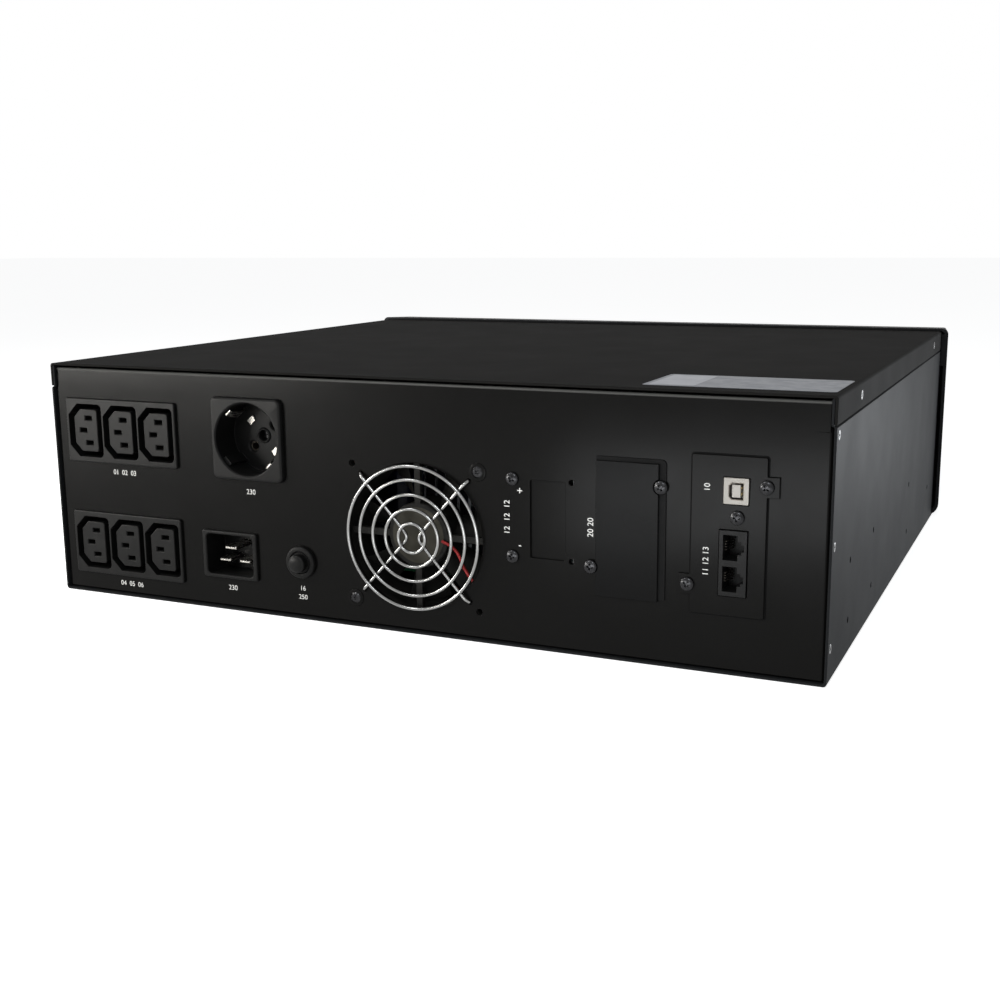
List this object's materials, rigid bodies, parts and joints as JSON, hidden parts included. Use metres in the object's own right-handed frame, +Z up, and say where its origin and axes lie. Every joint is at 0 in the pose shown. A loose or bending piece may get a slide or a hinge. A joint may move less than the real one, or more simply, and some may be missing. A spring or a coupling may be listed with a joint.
{
  "type": "rackmount uninterruptible power supply",
  "caption": "Black sheet-steel rackmount battery backup unit: mains outlets, blade inlet, breaker, fan and ports behind; display bezel and sliding battery drawer in front.",
  "frame": {"origin": "centre of the underside of the box that holds the unit", "axes": "+X to the unit's right seen from the front, +Y towards the socket panel, +Z up; the bezel faces -Y"},
  "size_m": [0.449, 0.4344, 0.1338],
  "materials": {
    "painted_steel": "fine-texture black powder coat",
    "panel_paint": "fine-texture black powder coat",
    "zinc_steel": "bright zinc plate",
    "black_plastic": "moulded satin",
    "bezel_plastic": "moulded fine spark texture",
    "chrome": "bright plated wire",
    "black_screw": "black oxide",
    "nickel": "bright nickel plate",
    "cream_plastic": "moulded satin",
    "red_lead": "smooth insulation",
    "circuit_board": "solder resist",
    "battery_case": "moulded satin",
    "aluminium": "extruded, natural",
    "capacitor_sleeve": "heat-shrink sleeve",
    "copper_winding": "varnished winding under tape",
    "lamination": "stacked steel, varnished",
    "dark_glass": "gloss, tinted",
    "display_glass": "liquid crystal panel"
  },
  "bodies": {
    "case": {"chassis_base": "painted_steel", "top_cover": "painted_steel", "rear_panel": "panel_paint", "front_frame": "painted_steel", "front_bezel": "bezel_plastic", "display_window": "dark_glass", "lcd_module": "display_glass", "display_board": "circuit_board", "drawer_receptacle": "black_plastic", "transformer_plate": "zinc_steel", "transformer_core": "lamination", "transformer_coil": "copper_winding", "power_board": "circuit_board", "heat_sink_1": "aluminium", "heat_sink_2": "aluminium", "bus_capacitor_1": "capacitor_sleeve", "bus_capacitor_2": "capacitor_sleeve", "fan_frame": "black_plastic", "fan_guard": "chrome", "fan_lead": "red_lead", "outlet_bank_lower": "black_plastic", "outlet_bank_upper": "black_plastic", "round_outlet": "black_plastic", "round_earth_clip_upper": "nickel", "round_earth_clip_lower": "nickel", "inlet_housing": "black_plastic", "inlet_pin_earth": "nickel", "inlet_pin_line": "nickel", "inlet_pin_neutral": "nickel", "breaker_body": "black_plastic", "breaker_nut": "black_plastic", "port_blank": "panel_paint", "slot_cover": "panel_paint", "card_cage": "zinc_steel", "comm_plate": "panel_paint", "comm_board": "circuit_board", "usb_port": "cream_plastic", "modem_jacks": "black_plastic", "comm_bracket": "zinc_steel", "port_screw_upper": "black_screw", "port_screw_lower": "black_screw", "slot_screw_upper": "black_screw", "slot_screw_lower": "black_screw", "comm_screw_upper": "black_screw", "comm_screw_lower": "black_screw", "comm_fixing_screw": "black_screw"},
    "battery_drawer": {"battery_tray": "zinc_steel", "drawer_front": "bezel_plastic", "battery_1": "battery_case", "battery_2": "battery_case", "battery_3": "battery_case", "battery_4": "battery_case", "battery_link_bar": "black_plastic", "drawer_plug": "black_plastic"},
    "fan_wheel": {"fan_rotor": "black_plastic"},
    "breaker_reset": {"breaker_button": "black_plastic"},
    "power_key": {"power_button": "black_plastic"},
    "select_key": {"select_button": "black_plastic"},
    "mute_key": {"mute_button": "black_plastic"}
  },
  "joints": [
    {"name": "drawer_slide", "type": "slide", "parent": "case", "child": "battery_drawer", "axis": [0, -1, 0], "range_m": [0, 0.15]},
    {"name": "fan_spin", "type": "hinge", "parent": "case", "child": "fan_wheel", "pos_m": [-0.011, 0.195, 0.051], "axis": [0, 1, 0], "continuous": true},
    {"name": "breaker_pop", "type": "slide", "parent": "case", "child": "breaker_reset", "axis": [0, 1, 0], "range_m": [0, 0.004]},
    {"name": "power_press", "type": "slide", "parent": "case", "child": "power_key", "axis": [0, 1, 0], "range_m": [0, 0.0015], "stiffness_N_per_m": 300},
    {"name": "select_press", "type": "slide", "parent": "case", "child": "select_key", "axis": [0, 1, 0], "range_m": [0, 0.0015], "stiffness_N_per_m": 300},
    {"name": "mute_press", "type": "slide", "parent": "case", "child": "mute_key", "axis": [0, 1, 0], "range_m": [0, 0.0015], "stiffness_N_per_m": 300}
  ]
}
